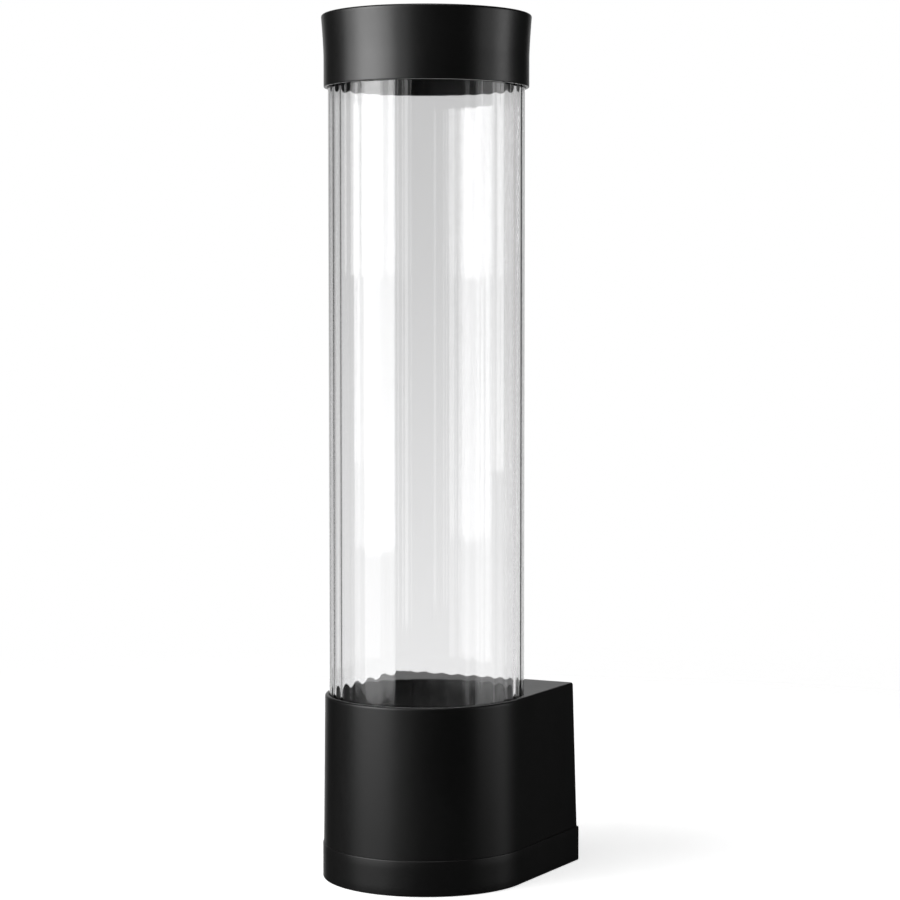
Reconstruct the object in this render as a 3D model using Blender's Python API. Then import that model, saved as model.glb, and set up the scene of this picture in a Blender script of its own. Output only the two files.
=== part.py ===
# A wall-hung dispenser for a stack of paper cups: a D-shaped housing that hangs on a wall plate,
# a clear fluted tube with a lift-off cap, and a ring of sprung pawls that holds the lowest cup.
# Sizes are in metres. In the frame used here the tube's axis is x = y = 0, the front is at -Y and
# the bottom rim is z = 0. One empty moves this frame so that the world's origin is the middle of
# the wall face.

import math

import bmesh
import bpy
from mathutils import Matrix, Vector

# Overall heights above the bottom rim
total_height = 0.400
housing_top = 0.0857
cover_height = 0.0163
cap_height = 0.0322

# Gaps between pieces, and how far every cut runs past what it cuts
seat_gap = 0.0003
pin_gap = 0.00015
overrun = 0.002

# Plan of the housing: a half circle at the front and a flat back. It widens by the drafts downwards
housing_rim = 0.0017
housing_front_draft = 0.0007
housing_side_draft = 0.0022
housing_back = 0.0150
housing_corner = 0.0022
housing_wall = 0.0022
housing_edge_round = 0.0011
deck_thickness = 0.0022

# Socket for the tube inside the housing
socket_depth = 0.0267
socket_wall = 0.0014
ledge_thickness = 0.0019
ledge_lip = 0.0028

# Bottom cover: a shallow tray around the cup outlet, with a tongue that stands in the housing
cover_front_step = 0.0004
cover_side_step = 0.0009
cover_back_step = 0.0005
cover_corner = 0.0024
cover_wall = 0.0022
cover_floor = 0.0024
cover_edge_round = 0.0005
tongue_wall = 0.0012
tongue_height = 0.0050
tongue_root = 0.0022
outlet_step = 0.0004

# Clear tube
tube_radius = 0.0455
tube_wall = 0.0022
flute_count = 32
flute_depth = 0.0005

# Cap
cap_wall = 0.0015
cap_flare = 0.0013
cap_flare_height = 0.0185
cap_flare_power = 1.4
cap_roof = 0.0020
cap_edge_round = 0.0010
cap_rib_count = 8
cap_rib_height = 0.0040
cap_rib_reach = 0.0050
cap_rib_width = 0.0016

# Funnel between the tube and the throat
guide_wall = 0.0014
guide_flange = 0.0020
guide_flange_reach = 0.0021
throat_step = 0.0042

# Ring that carries the pawls, and the flat ring that closes it
carrier_wall = 0.0010
carrier_drop = 0.0007
carrier_floor = 0.0021
retainer_thickness = 0.0024
retainer_width = 0.0047
peg_thickness = 0.0012
peg_width = 0.0012

# Pawls, their pins and springs
pawl_angles = {"front": -90, "right": 0, "back": 90, "left": 180}
pivot_inset = 0.0036
pawl_reach = 0.0077
pawl_width = 0.0136
pawl_thickness = 0.0018
pawl_stop_length = 0.0013
hub_radius = 0.0021
pocket_gap = 0.0004
notch_margin = 0.0015
pin_radius = 0.0010
pin_seat = 0.0026
spring_wire = 0.0005
coil_gap = 0.00035
coil_turns = 4
coil_pitch = 0.00098
spring_side_gap = 0.00099
spring_leg = 0.0044

# Small screws that hold the retainer and the carrier
small_screw_radius = 0.0009
small_head_radius = 0.0017
small_head_height = 0.0011
retainer_screw_length = 0.0060
carrier_screw_length = 0.0080
retainer_screw_angles = (30, 150, 210, 330)
carrier_screw_angles = (60, 120, 240, 300)

# Cover screws and the bosses that they go into
boss_side_inset = 0.0102
boss_back_inset = 0.0110
boss_radius = 0.0036
cover_screw_radius = 0.0014
cover_head_radius = 0.0028
cover_head_height = 0.0018
cover_screw_length = 0.0230

# Wall plate, its hooks and pads, and the recess and windows for them in the housing
plate_half = 0.0340
plate_drop = 0.0077
plate_thickness = 0.0025
plate_corner = 0.0040
plate_hole_inset = 0.0060
plate_hole_radius = 0.0022
plate_sink_radius = 0.0042
pad_thickness = 0.0008
pad_width = 0.0160
pad_inset = 0.0030
pad_side_inset = 0.0120
hook_side_inset = 0.0100
hook_low_inset = 0.0100
hook_high_inset = 0.0120
hook_width = 0.0080
hook_neck = 0.0030
hook_lip = 0.0060
hook_lip_thickness = 0.0023
recess_wall = 0.0020
recess_gap = 0.0005
recess_clearance = 0.0012
lift_travel = 0.0070
window_gap = 0.0010

# Facets
round_steps = 48
small_steps = 16
corner_steps = 3
edge_steps = 3
flute_steps = 4
flare_steps = 5
coil_steps = 8
sharp_angle = math.radians(35)

# Sizes that follow from those above
socket_radius = tube_radius + seat_gap
tube_low = housing_top - socket_depth
tube_bore = tube_radius - tube_wall
tube_high = total_height - cap_roof - cap_rib_height - seat_gap
ledge_bore = socket_radius - ledge_lip
ledge_low = tube_low - seat_gap - ledge_thickness
roof_under = housing_top - deck_thickness
cap_low = total_height - cap_height
cap_under = total_height - cap_roof
cap_inside = tube_radius + seat_gap
cap_skirt_radius = cap_inside + cap_wall
cap_rim_radius = cap_skirt_radius + cap_flare
housing_low = cover_height + seat_gap
housing_front_top = socket_radius + housing_rim
housing_front_bottom = housing_front_top + housing_front_draft
housing_half_bottom = housing_front_top + housing_side_draft
housing_depth = housing_front_top + housing_back
cover_front = housing_front_bottom + cover_front_step
cover_half = housing_half_bottom + cover_side_step
cover_depth = housing_depth + cover_back_step
tongue_low = cover_height - tongue_root
tongue_high = cover_height + tongue_height
throat_radius = tube_bore - throat_step
outlet_radius = throat_radius + outlet_step
pivot_radius = throat_radius + pivot_inset
carrier_low = cover_floor + seat_gap
carrier_top = tongue_low - carrier_drop
pivot_height = carrier_top - hub_radius - seat_gap
retainer_low = carrier_top + seat_gap
retainer_high = retainer_low + retainer_thickness
retainer_outer = throat_radius + retainer_width
retainer_screw_ring = (throat_radius + retainer_outer) / 2
guide_low = retainer_high + seat_gap
guide_high = ledge_low - seat_gap
boss_across = housing_half_bottom - boss_side_inset
boss_back = housing_depth - boss_back_inset
plate_front = cover_depth - plate_thickness
plate_low = tongue_high + recess_clearance + recess_wall + recess_gap + lift_travel
plate_high = housing_top - plate_drop
wall_point_height = (plate_low + plate_high) / 2
hook_across = plate_half - hook_side_inset
hook_heights = (plate_low + hook_low_inset, plate_high - hook_high_inset)
pad_across = plate_half - pad_side_inset
recess_floor = plate_front - recess_gap
recess_half = plate_half + recess_gap
recess_low = plate_low - lift_travel - recess_gap
recess_high = plate_high + recess_gap
hook_inner = recess_floor - recess_wall - seat_gap
pocket_half = pawl_width / 2 + pocket_gap
pocket_outer = pivot_radius + hub_radius + seat_gap
carrier_outer = pocket_outer + carrier_wall
pin_half = pocket_half + pin_seat
coil_radius = pin_radius + coil_gap + spring_wire / 2
coil_half = coil_turns * coil_pitch / 2
hub_width = pawl_width / 2 - coil_half - spring_wire / 2 - spring_side_gap


def clear_scene():
    for thing in list(bpy.data.objects):
        bpy.data.objects.remove(thing)


def make_material(name, colour, roughness, metallic=0.0, alpha=1.0):
    material = bpy.data.materials.new(name)
    material.use_nodes = True
    shader = material.node_tree.nodes["Principled BSDF"]
    shader.inputs["Base Color"].default_value = (*colour, 1)
    shader.inputs["Roughness"].default_value = roughness
    shader.inputs["Metallic"].default_value = metallic
    shader.inputs["Alpha"].default_value = alpha
    return material


def add_object(name, data, material, parent, place=(0, 0, 0), turn=0.0):
    thing = bpy.data.objects.new(name, data)
    bpy.context.scene.collection.objects.link(thing)
    thing.location = place
    thing.rotation_euler = (0, 0, turn)
    thing.parent = parent
    if material is not None and not data.materials:
        data.materials.append(material)
    return thing


def combine(thing, mesh, operation, place=(0, 0, 0), turn=0.0):
    # Joins the mesh to the piece or cuts it away. The helper object stays hidden beside the piece.
    helper = add_object(mesh.name, mesh, None, thing.parent, place, turn)
    helper.hide_render = True
    helper.display_type = "WIRE"
    modifier = thing.modifiers.new(mesh.name, "BOOLEAN")
    modifier.operation = operation
    modifier.object = helper


def join(thing, mesh, place=(0, 0, 0), turn=0.0):
    combine(thing, mesh, "UNION", place, turn)


def cut(thing, mesh, place=(0, 0, 0), turn=0.0):
    combine(thing, mesh, "DIFFERENCE", place, turn)


def mesh_from(name, shape):
    bmesh.ops.recalc_face_normals(shape, faces=shape.faces)
    mesh = bpy.data.meshes.new(name)
    shape.to_mesh(mesh)
    shape.free()
    mesh.shade_smooth()
    mesh.set_sharp_from_angle(angle=sharp_angle)
    return mesh


def settled_mesh(thing):
    # The piece's mesh with its joins and cuts made, for copies that share it.
    graph = bpy.context.evaluated_depsgraph_get()
    mesh = bpy.data.meshes.new_from_object(thing.evaluated_get(graph))
    thing.hide_render = True
    thing.display_type = "WIRE"
    return mesh


def polar(radius, angle):
    return (radius * math.cos(angle), radius * math.sin(angle))


def arc_points(centre, radius, first, last, steps):
    # Points along an arc from the first angle to the last, both included.
    angles = [first + (last - first) * i / steps for i in range(steps + 1)]
    return [(centre[0] + x, centre[1] + y) for x, y in (polar(radius, a) for a in angles)]


def circle_points(radius, steps=round_steps):
    return [polar(radius, math.tau * i / steps) for i in range(steps)]


def box_points(low_x, high_x, low_y, high_y):
    return [(high_x, high_y), (low_x, high_y), (low_x, low_y), (high_x, low_y)]


def rounded_box_points(half_x, half_y, corner):
    # A rectangle about the origin whose corners are quarter circles.
    points = []
    for i, (side_x, side_y) in enumerate(((1, 1), (-1, 1), (-1, -1), (1, -1))):
        centre = (side_x * (half_x - corner), side_y * (half_y - corner))
        first = math.pi / 2 * i
        points += arc_points(centre, corner, first, first + math.pi / 2, corner_steps)
    return points


def d_points(front, back_half, depth, corner):
    # The plan of the base: half a circle at the front, straight sides and two rounded back corners.
    points = arc_points((0, 0), front, 0, -math.pi, round_steps // 2)
    middle = back_half - corner
    points += arc_points((-middle, depth - corner), corner, math.pi, math.pi / 2, corner_steps)
    points += arc_points((middle, depth - corner), corner, math.pi / 2, 0, corner_steps)
    return points


def rounding():
    # Pairs of inset and rise, as shares of the radius, around an edge that is rounded by a quarter turn.
    angles = [math.pi / 2 * i / edge_steps for i in range(edge_steps + 1)]
    return [(1 - math.cos(angle), math.sin(angle)) for angle in angles]


def stack(name, rings):
    # Joins outlines of equal length, each at its own height, into a closed solid.
    shape = bmesh.new()
    loops = [[shape.verts.new((x, y, z)) for x, y in points] for points, z in rings]
    for lower, upper in zip(loops, loops[1:]):
        for i in range(len(lower)):
            after = (i + 1) % len(lower)
            shape.faces.new((lower[i], lower[after], upper[after], upper[i]))
    shape.faces.new(reversed(loops[0]))
    shape.faces.new(loops[-1])
    return mesh_from(name, shape)


def prism(name, points, low, high):
    return stack(name, [(points, low), (points, high)])


def rod(name, radius, low, high, steps=small_steps):
    return prism(name, circle_points(radius, steps), low, high)


def box(name, low, high):
    return prism(name, box_points(low[0], high[0], low[1], high[1]), low[2], high[2])


def sideways(name, outline, low, high):
    # An outline of (x, z) points carried along Y from low to high.
    mesh = prism(name, outline, -high, -low)
    mesh.transform(Matrix.Rotation(math.pi / 2, 4, "X"))
    return mesh


def turned(name, profile, steps=round_steps):
    # Turns a profile of (radius, height) points about the Z axis. A profile whose ends both lie on
    # the axis stays open there, and any other is closed.
    shape = bmesh.new()
    columns = []
    for i in range(steps):
        turn = Matrix.Rotation(math.tau * i / steps, 3, "Z")
        columns.append([shape.verts.new(turn @ Vector((radius, 0, z))) for radius, z in profile])
    on_axis = profile[0][0] == 0 and profile[-1][0] == 0
    sides = len(profile) - 1 if on_axis else len(profile)
    for column, following in zip(columns, columns[1:] + columns[:1]):
        for i in range(sides):
            after = (i + 1) % len(profile)
            shape.faces.new((column[i], column[after], following[after], following[i]))
    bmesh.ops.remove_doubles(shape, verts=shape.verts, dist=seat_gap / 1000)
    return mesh_from(name, shape)


def ring_place(radius, degrees, height=0.0):
    return (*polar(radius, math.radians(degrees)), height)


def housing_outline(height, inset=0.0):
    # The housing widens a little towards the bottom, so that it leaves its mould.
    share = (housing_top - height) / (housing_top - housing_low)
    front = housing_front_top + share * housing_front_draft
    back_half = housing_front_top + share * housing_side_draft
    corner = max(housing_corner - inset, housing_corner / 4)
    return d_points(front - inset, back_half - inset, housing_depth - inset, corner)


def make_housing(parent, material):
    rings = [(housing_outline(housing_low), housing_low)]
    for inset_share, rise_share in rounding():
        height = housing_top - (1 - rise_share) * housing_edge_round
        rings.append((housing_outline(height, inset_share * housing_edge_round), height))
    housing = add_object("housing", stack("housing", rings), material, parent)

    cavity_low = housing_low - overrun
    cavity = [
        (housing_outline(cavity_low, housing_wall), cavity_low),
        (housing_outline(roof_under, housing_wall), roof_under),
    ]
    cut(housing, stack("housing_cavity", cavity))

    inside_deck = roof_under + deck_thickness / 2
    join(housing, rod("socket_body", socket_radius + socket_wall, ledge_low, inside_deck, round_steps))
    recess_body = box(
        "recess_body",
        (-recess_half - recess_wall, recess_floor - recess_wall, recess_low - recess_wall),
        (recess_half + recess_wall, housing_depth - housing_wall / 2, recess_high + recess_wall),
    )
    join(housing, recess_body)
    for side in (-1, 1):
        boss = rod("cover_boss", boss_radius, housing_low, inside_deck)
        join(housing, boss, (side * boss_across, boss_back, 0))

    bore_low = tube_low - seat_gap
    cut(housing, rod("socket_bore", socket_radius, bore_low, housing_top + overrun, round_steps))
    cut(housing, rod("ledge_bore", ledge_bore, ledge_low - overrun, housing_top, round_steps))
    recess_high_back = (recess_half, housing_depth + overrun, recess_high)
    cut(housing, box("recess", (-recess_half, recess_floor, recess_low), recess_high_back))
    for side in (-1, 1):
        for height in hook_heights:
            cut(housing, hook_window(height), (side * hook_across, 0, 0))
        hole_high = cover_floor + cover_screw_length + overrun
        hole = rod("boss_hole", cover_screw_radius + pin_gap, housing_low - overrun, hole_high)
        cut(housing, hole, (side * boss_across, boss_back, 0))
    return housing


def hook_window(height):
    # A hook passes through this window, and the wall above it drops behind the hook's lip.
    half = hook_width / 2 + window_gap
    high = height + seat_gap
    low = high - hook_neck - hook_lip - lift_travel / 2
    inner = recess_floor - recess_wall - overrun
    return box("hook_window", (-half, inner, low), (half, housing_depth, high))


def cover_outline(inset=0.0):
    corner = max(cover_corner - inset, cover_corner / 4)
    return d_points(cover_front - inset, cover_half - inset, cover_depth - inset, corner)


def make_bottom_cover(parent, material):
    rings = [(cover_outline(cover_edge_round), 0)]
    rings.append((cover_outline(), cover_edge_round))
    for inset_share, rise_share in rounding():
        height = cover_height - (1 - rise_share) * cover_edge_round
        rings.append((cover_outline(inset_share * cover_edge_round), height))
    cover = add_object("bottom_cover", stack("bottom_cover", rings), material, parent)

    tongue = housing_outline(tongue_high, housing_wall + seat_gap)
    tongue_inside = housing_outline(tongue_high, housing_wall + seat_gap + tongue_wall)
    join(cover, prism("tongue_body", tongue, tongue_low, tongue_high))
    cut(cover, prism("tongue_inside", tongue_inside, tongue_low - overrun, tongue_high + overrun))
    cut(cover, prism("tray", cover_outline(cover_wall), cover_floor, tongue_low))
    for side in (-1, 1):
        post = rod("cover_post", boss_radius, cover_floor / 2, cover_height)
        join(cover, post, (side * boss_across, boss_back, 0))
    cut(cover, rod("outlet", outlet_radius, -overrun, cover_floor + overrun, round_steps))
    for side in (-1, 1):
        place = (side * boss_across, boss_back, 0)
        cut(cover, rod("post_hole", cover_screw_radius + pin_gap, -overrun, cover_height + overrun), place)
        sink_high = cover_head_height + seat_gap
        cut(cover, rod("post_sink", cover_head_radius + seat_gap, -overrun, sink_high), place)
    for angle in carrier_screw_angles:
        place = ring_place(pivot_radius, angle)
        cut(cover, rod("floor_hole", small_screw_radius + pin_gap, -overrun, cover_floor + overrun), place)
        sink_high = small_head_height + seat_gap
        cut(cover, rod("floor_sink", small_head_radius + seat_gap, -overrun, sink_high), place)
    return cover


def fluted_points(radius, depth):
    # Rounded flutes around a circle, which dips in a shallow crease between one flute and the next.
    points = []
    steps = flute_count * flute_steps
    for i in range(steps):
        angle = math.tau * i / steps
        crease_share = 1 - abs(math.cos(flute_count * angle / 2))
        points.append(polar(radius - depth * crease_share, angle))
    return points


def make_tube(parent, material):
    outside = fluted_points(tube_radius, flute_depth)
    inside = circle_points(tube_bore, flute_count * flute_steps)
    shape = bmesh.new()
    rings = []
    for points, height in (
        (outside, tube_low),
        (outside, tube_high),
        (inside, tube_high),
        (inside, tube_low),
    ):
        rings.append([shape.verts.new((x, y, height)) for x, y in points])
    for ring, following in zip(rings, rings[1:] + rings[:1]):
        for i in range(len(ring)):
            after = (i + 1) % len(ring)
            shape.faces.new((ring[i], ring[after], following[after], following[i]))
    return add_object("cup_tube", mesh_from("cup_tube", shape), material, parent)


def cap_profile():
    # Half section of the cap: a flat roof, and a skirt that flares out to the rim in a hollow curve.
    profile = [(0, cap_under), (cap_inside, cap_under), (cap_inside, cap_low)]
    shoulder = total_height - cap_edge_round
    profile.append((cap_skirt_radius, cap_low))
    for i in range(flare_steps + 1):
        share = i / flare_steps
        flare = cap_flare * share**cap_flare_power
        profile.append((cap_skirt_radius + flare, shoulder - (1 - share) * cap_flare_height))
    for inset_share, rise_share in rounding()[1:]:
        radius = cap_rim_radius - inset_share * cap_edge_round
        profile.append((radius, shoulder + rise_share * cap_edge_round))
    profile.append((0, total_height))
    return profile


def make_cap(parent, material):
    # Ribs under the roof rest on the tube's rim.
    cap = add_object("top_cap", turned("top_cap", cap_profile()), material, parent)
    for i in range(cap_rib_count):
        rib = box(
            "cap_rib",
            (cap_inside - cap_rib_reach, -cap_rib_width / 2, cap_under - cap_rib_height),
            ((cap_inside + cap_skirt_radius) / 2, cap_rib_width / 2, cap_under + cap_roof / 2),
        )
        join(cap, rib, turn=math.tau * i / cap_rib_count)
    return cap


def make_guide(parent, material):
    # A funnel whose flange lies under the socket's ledge, and whose foot stands on the retainer.
    flange_outer = ledge_bore + guide_flange_reach
    foot_high = guide_low + guide_flange
    profile = [
        (flange_outer, guide_high),
        (ledge_bore, guide_high),
        (throat_radius, foot_high),
        (throat_radius, guide_low),
        (throat_radius + guide_wall, guide_low),
        (throat_radius + guide_wall, foot_high),
        (ledge_bore + guide_wall, guide_high - guide_flange),
        (flange_outer, guide_high - guide_flange),
    ]
    return add_object("cup_guide", turned("cup_guide", profile), material, parent)


def ring_profile(inner, outer, low, high):
    return [(outer, low), (outer, high), (inner, high), (inner, low)]


def make_carrier(parent, material):
    # A ring with a pocket for each pawl, slots for its pin, a notch that the lowered finger needs,
    # a hole that anchors its spring, and holes for both sets of screws.
    ring = turned("pawl_carrier", ring_profile(throat_radius, carrier_outer, carrier_low, carrier_top))
    carrier = add_object("pawl_carrier", ring, material, parent)
    high = carrier_top + overrun
    slot_half = pin_radius + pin_gap
    for degrees in pawl_angles.values():
        turn = math.radians(degrees)
        pocket_low = (throat_radius - overrun, -pocket_half, carrier_low + carrier_floor)
        cut(carrier, box("pawl_pocket", pocket_low, (pocket_outer, pocket_half, high)), turn=turn)
        notch_low = (throat_radius - overrun, -pocket_half, carrier_low - overrun)
        notch_high = (pivot_radius - notch_margin, pocket_half, high)
        cut(carrier, box("finger_notch", notch_low, notch_high), turn=turn)
        slot_low = (pivot_radius - slot_half, -pin_half - seat_gap, pivot_height - slot_half)
        slot_high = (pivot_radius + slot_half, pin_half + seat_gap, high)
        cut(carrier, box("pin_slot", slot_low, slot_high), turn=turn)
        anchor = rod("spring_anchor", spring_wire, pocket_outer - overrun, carrier_outer + overrun)
        anchor.transform(Matrix.Rotation(math.pi / 2, 4, "Y"))
        anchor.transform(Matrix.Translation((0, coil_half, pivot_height - coil_radius)))
        cut(carrier, anchor, turn=turn)
    for angle in retainer_screw_angles:
        hole = rod("retainer_hole", small_screw_radius + pin_gap, retainer_screw_tip() - seat_gap, high)
        cut(carrier, hole, ring_place(retainer_screw_ring, angle))
    for angle in carrier_screw_angles:
        tip = small_head_height + carrier_screw_length + seat_gap
        hole = rod("carrier_hole", small_screw_radius + pin_gap, carrier_low - overrun, tip)
        cut(carrier, hole, ring_place(pivot_radius, angle))
    return carrier


def retainer_screw_tip():
    return retainer_high - small_head_height - retainer_screw_length


def make_retainer(parent, material):
    # A flat ring with sunk screw holes, and pegs that reach down the slots to the pins.
    ring = turned("pawl_retainer", ring_profile(throat_radius, retainer_outer, retainer_low, retainer_high))
    retainer = add_object("pawl_retainer", ring, material, parent)
    peg_low = pivot_height + pin_radius + seat_gap
    for degrees in pawl_angles.values():
        for side in (-1, 1):
            edge = min(side * pocket_half, side * (pocket_half + peg_width))
            peg = box(
                "pin_peg",
                (pivot_radius - peg_thickness / 2, edge, peg_low),
                (pivot_radius + peg_thickness / 2, edge + peg_width, retainer_low + retainer_thickness / 2),
            )
            join(retainer, peg, turn=math.radians(degrees))
    for angle in retainer_screw_angles:
        place = ring_place(retainer_screw_ring, angle)
        hole_low = retainer_low - overrun
        hole = rod("ring_hole", small_screw_radius + pin_gap, hole_low, retainer_high + overrun)
        cut(retainer, hole, place)
        sink_low = retainer_high - small_head_height - seat_gap
        sink = rod("ring_sink", small_head_radius + seat_gap, sink_low, retainer_high + overrun)
        cut(retainer, sink, place)
    return retainer


def make_screws(name, parent, material, places, sizes, turn=0.0):
    # Equal screws whose heads' undersides lie at the places. A half turn points them down.
    shank_radius, head_radius, head_height, length = sizes
    drive_radius = head_radius / 3
    profile = [
        (0, -head_height / 2),
        (drive_radius, -head_height / 2),
        (drive_radius, -head_height),
        (head_radius, -head_height),
        (head_radius, 0),
        (shank_radius, 0),
        (shank_radius, length - shank_radius),
        (shank_radius / 2, length),
        (0, length),
    ]
    mesh = turned(name, profile, small_steps)
    mesh.transform(Matrix.Rotation(turn, 4, "X"))
    for number, place in enumerate(places, 1):
        add_object(f"{name}_{number}", mesh, material, parent, place)


def make_all_screws(parent, steel):
    small = (small_screw_radius, small_head_radius, small_head_height)
    places = [(side * boss_across, boss_back, cover_head_height) for side in (-1, 1)]
    cover_sizes = (cover_screw_radius, cover_head_radius, cover_head_height, cover_screw_length)
    make_screws("cover_screw", parent, steel, places, cover_sizes)
    places = [ring_place(pivot_radius, a, small_head_height) for a in carrier_screw_angles]
    make_screws("carrier_screw", parent, steel, places, (*small, carrier_screw_length))
    bearing = retainer_high - small_head_height
    places = [ring_place(retainer_screw_ring, a, bearing) for a in retainer_screw_angles]
    make_screws("retainer_screw", parent, steel, places, (*small, retainer_screw_length), math.pi)


def pawl_mesh(parent):
    # A finger that points inwards (-X) from a hub on each side, with the spring between the hubs.
    # The stop on the finger's back meets the retainer and keeps the finger level.
    half = pawl_thickness / 2
    root = hub_radius + seat_gap
    stop_high = retainer_low - seat_gap - pivot_height
    finger = [
        (-root, -half),
        (-root, stop_high),
        (-root - pawl_stop_length, stop_high),
        (-root - pawl_stop_length, half),
        (-pawl_reach, half),
        (-pawl_reach, half / 3),
        (-pawl_reach + half, -half),
    ]
    pawl = add_object("pawl_form", sideways("finger", finger, -pawl_width / 2, pawl_width / 2), None, parent)
    for side in (-1, 1):
        low = min(side * pawl_width / 2, side * (pawl_width / 2 - hub_width))
        arm = box("pawl_arm", (-root - half, low, -half), (0, low + hub_width, half))
        join(pawl, arm)
        join(pawl, sideways("pawl_hub", circle_points(hub_radius, small_steps), low, low + hub_width))
    bore = circle_points(pin_radius + pin_gap, small_steps)
    cut(pawl, sideways("pawl_bore", bore, -pawl_width, pawl_width))
    return settled_mesh(pawl)


def spring_curve():
    # A torsion spring about the pin: one leg under the finger, the coil, and one leg in the carrier.
    points = [(-spring_leg, -coil_half, -coil_radius)]
    steps = coil_turns * coil_steps
    for i in range(steps + 1):
        x, z = polar(coil_radius, -math.pi / 2 + math.tau * i / coil_steps)
        points.append((x, -coil_half + coil_pitch * i / coil_steps, z))
    points.append((pocket_outer - pivot_radius + spring_wire, coil_half, -coil_radius))
    curve = bpy.data.curves.new("pawl_spring", "CURVE")
    curve.dimensions = "3D"
    curve.bevel_depth = spring_wire / 2
    curve.bevel_resolution = 1
    curve.use_fill_caps = True
    spline = curve.splines.new("POLY")
    spline.points.add(len(points) - 1)
    for point, place in zip(spline.points, points):
        point.co = (*place, 1)
    print("least gap between the spring's turns:", coil_pitch - spring_wire)
    return curve


def make_pawls(parent, plastic, steel):
    shared_pawl = pawl_mesh(parent)
    shared_spring = spring_curve()
    shared_pin = sideways("pawl_pin", circle_points(pin_radius, small_steps), -pin_half, pin_half)
    for where, degrees in pawl_angles.items():
        turn = math.radians(degrees)
        place = ring_place(pivot_radius, degrees, pivot_height)
        add_object("pawl_" + where, shared_pawl, plastic, parent, place, turn)
        add_object("pawl_spring_" + where, shared_spring, steel, parent, place, turn)
        add_object("pawl_pin_" + where, shared_pin, steel, parent, place, turn)


def make_wall_plate(parent, plastic, foam):
    # The plate stays on the wall. Hooks on its front carry the housing, pads stick it to the wall,
    # and two sunk holes take wall screws instead.
    half_height = (plate_high - plate_low) / 2
    outline = rounded_box_points(plate_half, half_height, plate_corner)
    mesh = sideways("wall_plate", outline, plate_front, cover_depth)
    mesh.transform(Matrix.Translation((0, 0, wall_point_height)))
    plate = add_object("wall_plate", mesh, plastic, parent)
    lip_inner = hook_inner - hook_lip_thickness
    for side in (-1, 1):
        for height in hook_heights:
            low = (-hook_width / 2, lip_inner, height - hook_neck)
            neck = box("hook_neck", low, (hook_width / 2, cover_depth - plate_thickness / 2, height))
            join(plate, neck, (side * hook_across, 0, 0))
            lip = box("hook_lip", low, (hook_width / 2, hook_inner, height + hook_lip))
            join(plate, lip, (side * hook_across, 0, 0))
        pad_low = plate_low + pad_inset
        pad_high = plate_high - pad_inset
        pocket = box(
            "pad_pocket",
            (-pad_width / 2 - seat_gap, cover_depth - pad_thickness - seat_gap, pad_low - seat_gap),
            (pad_width / 2 + seat_gap, cover_depth + overrun, pad_high + seat_gap),
        )
        cut(plate, pocket, (side * pad_across, 0, 0))
        pad = box(
            "adhesive_pad",
            (-pad_width / 2, cover_depth - pad_thickness, pad_low),
            (pad_width / 2, cover_depth, pad_high),
        )
        name = "adhesive_pad_" + ("left" if side < 0 else "right")
        add_object(name, pad, foam, parent, (side * pad_across, 0, 0))
        hole = circle_points(plate_hole_radius, small_steps)
        hole_height = plate_low + plate_hole_inset if side < 0 else plate_high - plate_hole_inset
        through = sideways("plate_hole", hole, plate_front - overrun, cover_depth + overrun)
        cut(plate, through, (0, 0, hole_height))
        sink = circle_points(plate_sink_radius, small_steps)
        sink_mesh = sideways("plate_sink", sink, plate_front - overrun, plate_front + plate_thickness / 2)
        cut(plate, sink_mesh, (0, 0, hole_height))
    return plate


def main():
    clear_scene()
    frame = add_object("dispenser", None, None, None, (0, -cover_depth, -wall_point_height))
    black = make_material("black_plastic", (0.018, 0.018, 0.018), 0.42)
    dark = make_material("dark_inner_plastic", (0.03, 0.03, 0.032), 0.55)
    clear = make_material("clear_plastic", (0.92, 0.94, 0.95), 0.05, alpha=0.3)
    steel = make_material("spring_steel", (0.6, 0.6, 0.62), 0.3, metallic=1.0)
    foam = make_material("adhesive_foam", (0.85, 0.85, 0.82), 0.8)

    make_housing(frame, black)
    make_bottom_cover(frame, black)
    make_tube(frame, clear)
    make_cap(frame, black)
    make_guide(frame, dark)
    make_carrier(frame, dark)
    make_retainer(frame, dark)
    make_pawls(frame, dark, steel)
    make_all_screws(frame, steel)
    make_wall_plate(frame, dark, foam)


main()
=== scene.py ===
import math

import bmesh
import bpy
import numpy as np
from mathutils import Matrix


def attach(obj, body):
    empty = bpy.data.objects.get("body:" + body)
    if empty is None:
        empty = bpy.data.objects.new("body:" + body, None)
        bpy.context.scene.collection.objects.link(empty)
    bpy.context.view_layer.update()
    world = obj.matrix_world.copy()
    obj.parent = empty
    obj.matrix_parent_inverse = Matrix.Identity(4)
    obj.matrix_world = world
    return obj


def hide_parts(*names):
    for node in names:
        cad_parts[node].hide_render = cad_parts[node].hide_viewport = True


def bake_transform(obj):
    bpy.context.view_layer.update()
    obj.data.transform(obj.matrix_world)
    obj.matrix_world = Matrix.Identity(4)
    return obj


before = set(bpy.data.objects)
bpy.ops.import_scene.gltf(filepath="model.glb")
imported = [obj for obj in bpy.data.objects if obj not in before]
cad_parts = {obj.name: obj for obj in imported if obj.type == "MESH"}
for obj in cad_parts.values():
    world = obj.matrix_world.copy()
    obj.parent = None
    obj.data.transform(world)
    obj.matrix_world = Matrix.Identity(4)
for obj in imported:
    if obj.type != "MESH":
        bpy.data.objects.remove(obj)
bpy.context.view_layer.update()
scene = bpy.context.scene
print("frame loaded,", len(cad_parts), "nodes")

# Shapes are worked out in metres about the tube's axis, with the bottom rim at height 0. Their
# meshes are then moved by this much, into the frame of the CAD.
origin = np.array([0.0, -0.063, -0.055])
mergeReach = 1e-6  # points closer than this become one
# faces that turn by more than these degrees meet in a sharp edge
sharpAngles = {"turned": 35, "shell": 32, "wavy": 60, "screw": 30}


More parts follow.
